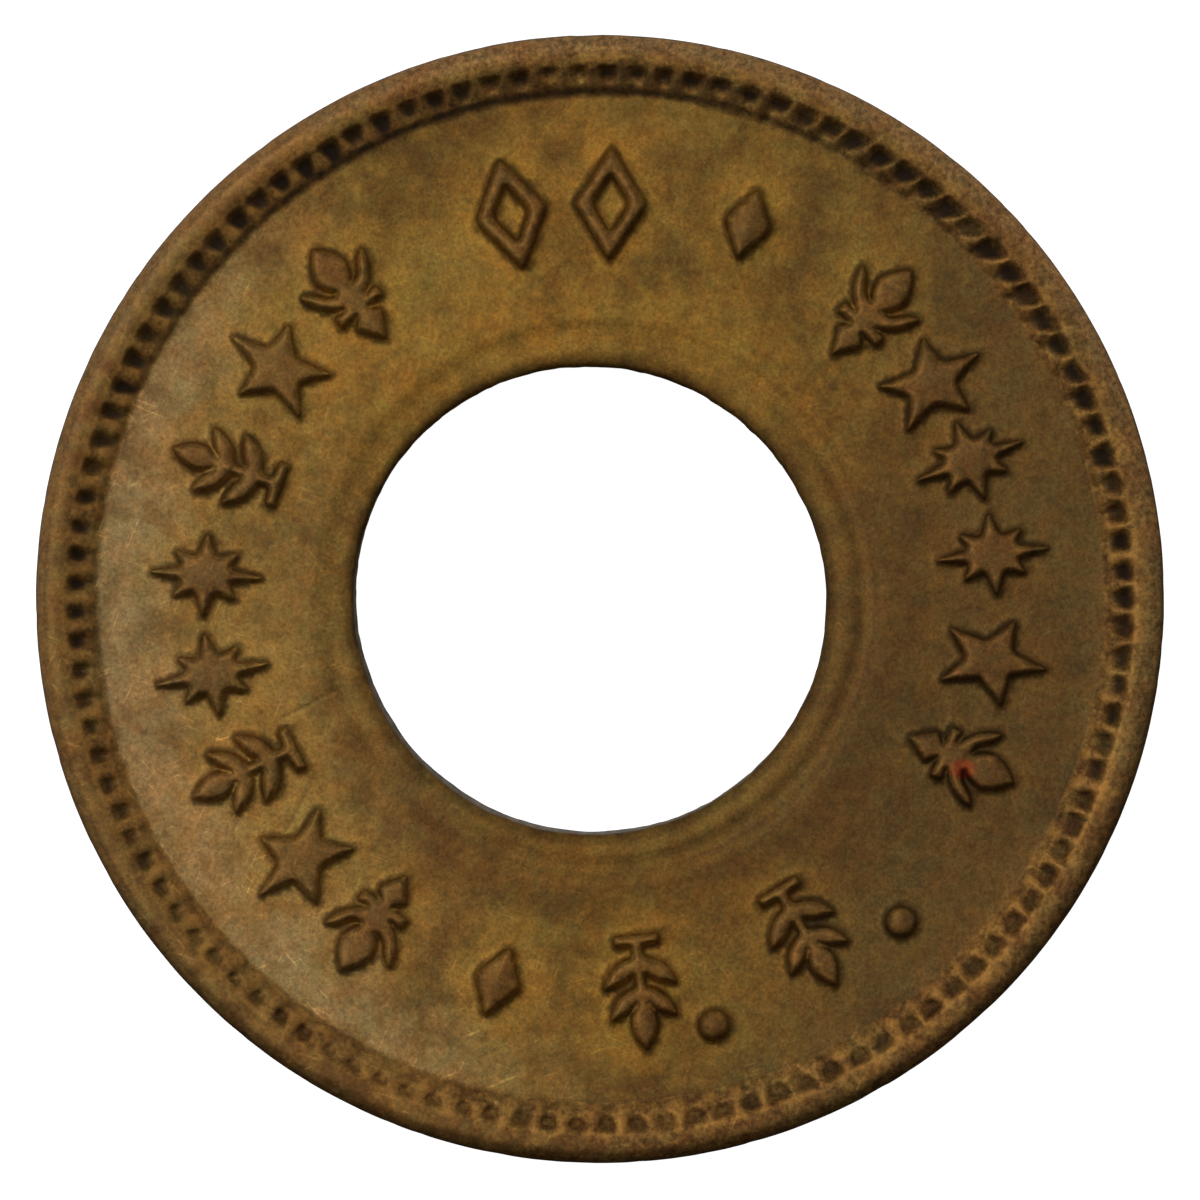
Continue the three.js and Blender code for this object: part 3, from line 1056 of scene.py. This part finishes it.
def patina(s, mottle, hazed):
    """The broad colours, before the finer variation."""
    cloud = s.noise(0.34, 4, 0.55)
    blend = s.math("ADD", s.math("MULTIPLY", cloud, 0.6), s.math("MULTIPLY", mottle, 0.4))
    colour = s.mix(s.ease(blend, 0.37, 0.63), *PATINA)
    # Cleaner metal, and the painted highlight round the hole.
    clean_and_lit = s.math("ADD", 0.3, s.math("MULTIPLY", s.ease(mottle, 0.32, 0.58), 0.3))
    colour = s.mix(s.math("MULTIPLY", s.fact("halo"), clean_and_lit), colour, CLEAN_AND_LIT_BRASS)
    # Reddish brown patina and painted shade.
    colour = s.mix(s.math("MULTIPLY", s.fact("umber_and_shade"), 0.64), colour, UMBER_AND_SHADE)
    colour = s.mix(s.math("MULTIPLY", s.toward(-12, 1, 7), 0.72), colour, SHADOWED)
    outer = s.math("ADD", 0.25, s.math("MULTIPLY", s.fact("outer"), 0.55))
    colour = s.mix(s.math("MULTIPLY", hazed, outer), colour, HAZE)
    rim_brown = s.mix(s.ease(mottle, 0.38, 0.6), *RIM_BROWN)
    colour = s.mix(s.math("MULTIPLY", s.fact("rim"), 0.8), colour, rim_brown)
    # Painted highlight on the rim's outer edge.
    colour = s.mix(s.math("MULTIPLY", s.fact("polish"), 0.9), colour, EDGE_HIGHLIGHT)
    colour = s.mix(s.math("MULTIPLY", s.fact("top"), 0.65), colour, ORNAMENT_BROWN)
    return s.mix(s.math("MULTIPLY", s.fact("copper"), 0.85), colour, COPPER_RED)


def speckle(s, colour, fleck, grain):
    """Variation of hue and lightness, from patches a millimetre wide down to fine grain."""
    hue = s.noise(0.6, 5, 0.6, lift=12)
    colour = s.varied(colour, s.ease(hue, 0.36, 0.64), (1.06, 0.98, 0.92), (0.97, 1.01, 1.01))
    tint = s.noise(3.2, 4, 0.6, lift=15)
    colour = s.varied(colour, s.ease(tint, 0.36, 0.64), (1.06, 0.97, 0.91), (0.95, 1.02, 1.04))
    colour = s.varied(colour, s.ease(fleck, 0.3, 0.7), (0.8, 0.79, 0.79), (1.2, 1.21, 1.21))
    colour = s.varied(colour, s.ease(grain, 0.3, 0.7), (0.72, 0.72, 0.74), (1.3, 1.3, 1.26))
    rings = s.noise(3.2, 2, 0.5, where=s.spun(), lift=30)
    rings = s.mix(s.fact("turned"), NO_NOISE, rings)
    colour = s.varied(colour, s.ease(rings, 0.3, 0.7), (0.72, 0.71, 0.7), (1.28, 1.29, 1.3))
    gritty = s.math("MULTIPLY", s.fact("rim"), s.toward(10, -7, 0))
    grit = s.mix(gritty, NO_NOISE, s.noise(9, 3, 0.7, lift=36))
    return s.varied(colour, s.ease(grit, 0.34, 0.66), (0.66, 0.64, 0.64), (1.36, 1.35, 1.3))


def scuffs(s, colour, mottle, hazed):
    """Short fine streaks in several directions, most of them where the field is hazed."""
    scuffed = s.math("MAXIMUM", hazed, s.toward(250, 3, 8.5))
    scuffed = s.math("ADD", 0.3, s.math("MULTIPLY", scuffed, 0.7))
    for turn, lift in STREAKS:
        streak = s.noise(7, 2, 0.5, where=s.stretched(0.16, 2.2, 1, turn), lift=lift)
        line = s.math("MULTIPLY", s.ease(streak, 0.62, 0.72), s.ease(mottle, 0.35, 0.6))
        line = s.math("MULTIPLY", line, scuffed)
        colour = s.varied(colour, line, (1.0, 1.0, 1.0), (1.6, 1.6, 1.6))
    return colour


def worn_brass():
    s = Surface("worn_brass")
    mottle = s.noise(1.7, 4, 0.6, lift=3)
    fleck = s.noise(5.5, 4, 0.65, lift=9)
    grain = s.noise(15, 4, 0.75, lift=6)
    patchy = s.math("ADD", 0.5, s.math("MULTIPLY", s.ease(mottle, 0.36, 0.6), 0.5))
    # Paler haze towards the left: part dusty deposit, part painted sheen.
    hazed = s.math("MULTIPLY", s.toward(196, 1.5, 8), patchy)
    colour = patina(s, mottle, hazed)
    colour = speckle(s, colour, fleck, grain)
    colour = scuffs(s, colour, mottle, hazed)
    dragged = s.noise(5, 3, 0.6, where=s.stretched(1, 1, 0.15), lift=39)
    cut_brass = s.mix(s.ease(dragged, 0.34, 0.66), *CUT_BRASS)
    colour = s.mix(s.fact("cut"), colour, cut_brass)
    # Dirt and painted shade darken the colour.
    soil = s.ease(s.fact("soil"), 0.05, 0.9)
    colour = s.mix(soil, colour, DIRT_AND_SHADE)
    # Worn metal and painted highlights lighten the colour.
    rubbed_and_lit = s.math("MULTIPLY", s.fact("wear"), s.ease(fleck, 0.34, 0.7), clamp=True)
    colour = s.mix(s.math("MULTIPLY", rubbed_and_lit, 0.8), colour, RUBBED_AND_LIT)
    s.put(colour, s.shader.inputs["Base Color"])
    dull = s.math("ADD", s.math("MULTIPLY", soil, 0.1), s.math("MULTIPLY", s.fact("cut"), 0.6))
    s.put(s.math("SUBTRACT", 0.9, dull, clamp=True), s.shader.inputs["Metallic"])
    rough = s.math("ADD", 0.34, s.math("MULTIPLY", fleck, 0.2))
    rough = s.math("ADD", rough, s.math("MULTIPLY", soil, 0.3))
    s.put(rough, s.shader.inputs["Roughness"])
    bump = s.tree.nodes.new("ShaderNodeBump")
    bump.inputs["Strength"].default_value = 0.5
    bump.inputs["Distance"].default_value = 0.008 * MM
    s.put(s.math("ADD", grain, s.math("MULTIPLY", fleck, 2.0)), bump.inputs["Height"])
    s.put(bump.outputs[0], s.shader.inputs["Normal"])
    return s.material


token.data.materials.append(worn_brass())

# ---- table, light and camera ----

TABLE_RINGS = ((0.4, 0.0), (0.55, 0.01), (0.65, 0.05), (0.7, 0.13))  # radius and height, metres
TABLE_SIDES = 64


def table_top():
    """A flat white sheet that curves up all round, so that every view has a pale background."""
    angles = [2 * math.pi * i / TABLE_SIDES for i in range(TABLE_SIDES)]
    corners = [(r * math.cos(a), r * math.sin(a), z) for r, z in TABLE_RINGS for a in angles]
    faces = [tuple(range(TABLE_SIDES))]
    for i in range(len(TABLE_RINGS) - 1):
        for j in range(TABLE_SIDES):
            a, b = i * TABLE_SIDES + j, i * TABLE_SIDES + (j + 1) % TABLE_SIDES
            faces.append((a, a + TABLE_SIDES, b + TABLE_SIDES, b))
    mesh = bpy.data.meshes.new("table_top")
    mesh.from_pydata(corners, [], faces)
    table = bpy.data.objects.new("table_top", mesh)
    bpy.context.scene.collection.objects.link(table)
    material = bpy.data.materials.new("table_white")
    material.use_nodes = True
    shader = material.node_tree.nodes["Principled BSDF"]
    shader.inputs["Base Color"].default_value = (0.86, 0.86, 0.86, 1)
    shader.inputs["Roughness"].default_value = 0.9
    shader.inputs["Emission Color"].default_value = (1, 1, 1, 1)
    shader.inputs["Emission Strength"].default_value = 0.9
    mesh.materials.append(material)
    table.visible_glossy = False  # its glare would whiten the token's edge
    table.visible_diffuse = False


def soft_light(name, place, target, size, power):
    """A round area light; metres and watts."""
    data = bpy.data.lights.new(name, "AREA")
    data.shape = "DISK"
    data.size = size
    data.energy = power
    lamp = bpy.data.objects.new(name, data)
    lamp.location = place
    aim = np.array(target) - np.array(place)
    lamp.rotation_euler = Vector(aim).to_track_quat("-Z", "Y").to_euler()
    lamp.visible_camera = False
    bpy.context.scene.collection.objects.link(lamp)


LIT_SIDE = math.radians(108)  # direction the light comes from, seen from above
LIT_HEIGHT = math.radians(25)


def studio_world():
    """A soft dome: pale overhead and low on the lit side, dark low on the other."""
    world = bpy.data.worlds.new("studio")
    world.use_nodes = True
    tree = world.node_tree
    direction = tree.nodes.new("ShaderNodeTexCoord").outputs["Generated"]
    lit = tree.nodes.new("ShaderNodeVectorMath")
    lit.operation = "DOT_PRODUCT"
    tree.links.new(direction, lit.inputs[0])
    level = math.cos(LIT_HEIGHT)
    lit.inputs[1].default_value = (
        math.cos(LIT_SIDE) * level, math.sin(LIT_SIDE) * level, math.sin(LIT_HEIGHT),
    )
    ease = tree.nodes.new("ShaderNodeMapRange")
    ease.interpolation_type = "SMOOTHSTEP"
    tree.links.new(lit.outputs["Value"], ease.inputs["Value"])
    ease.inputs["From Min"].default_value = -0.6
    ease.inputs["From Max"].default_value = 0.32
    ease.inputs["To Min"].default_value = 0.02
    ease.inputs["To Max"].default_value = 0.52
    tree.links.new(ease.outputs[0], tree.nodes["Background"].inputs["Strength"])
    tree.nodes["Background"].inputs["Color"].default_value = (1, 1, 1, 1)
    bpy.context.scene.world = world


table_top()
studio_world()
soft_light("overhead", place=(-0.1, 0.05, 0.36), target=(0, 0, 0), size=0.26, power=0.2)

bpy.context.scene.view_settings.view_transform = "Standard"

TOKEN_SHARE = 0.9404  # how much of the picture's side the token's diameter takes
VIEW_SIDE = 2 * RADIUS / TOKEN_SHARE * MM
camera_data = bpy.data.cameras.new("camera")
camera_data.lens = 200
camera_data.sensor_width = 36
camera_data.clip_start = 0.005
camera = bpy.data.objects.new("camera", camera_data)
distance = VIEW_SIDE * camera_data.lens / camera_data.sensor_width
camera.location = (0, -0.00002, (THICKNESS - SHOULDER_DROP) * MM + distance)
bpy.context.scene.collection.objects.link(camera)
bpy.context.scene.camera = camera
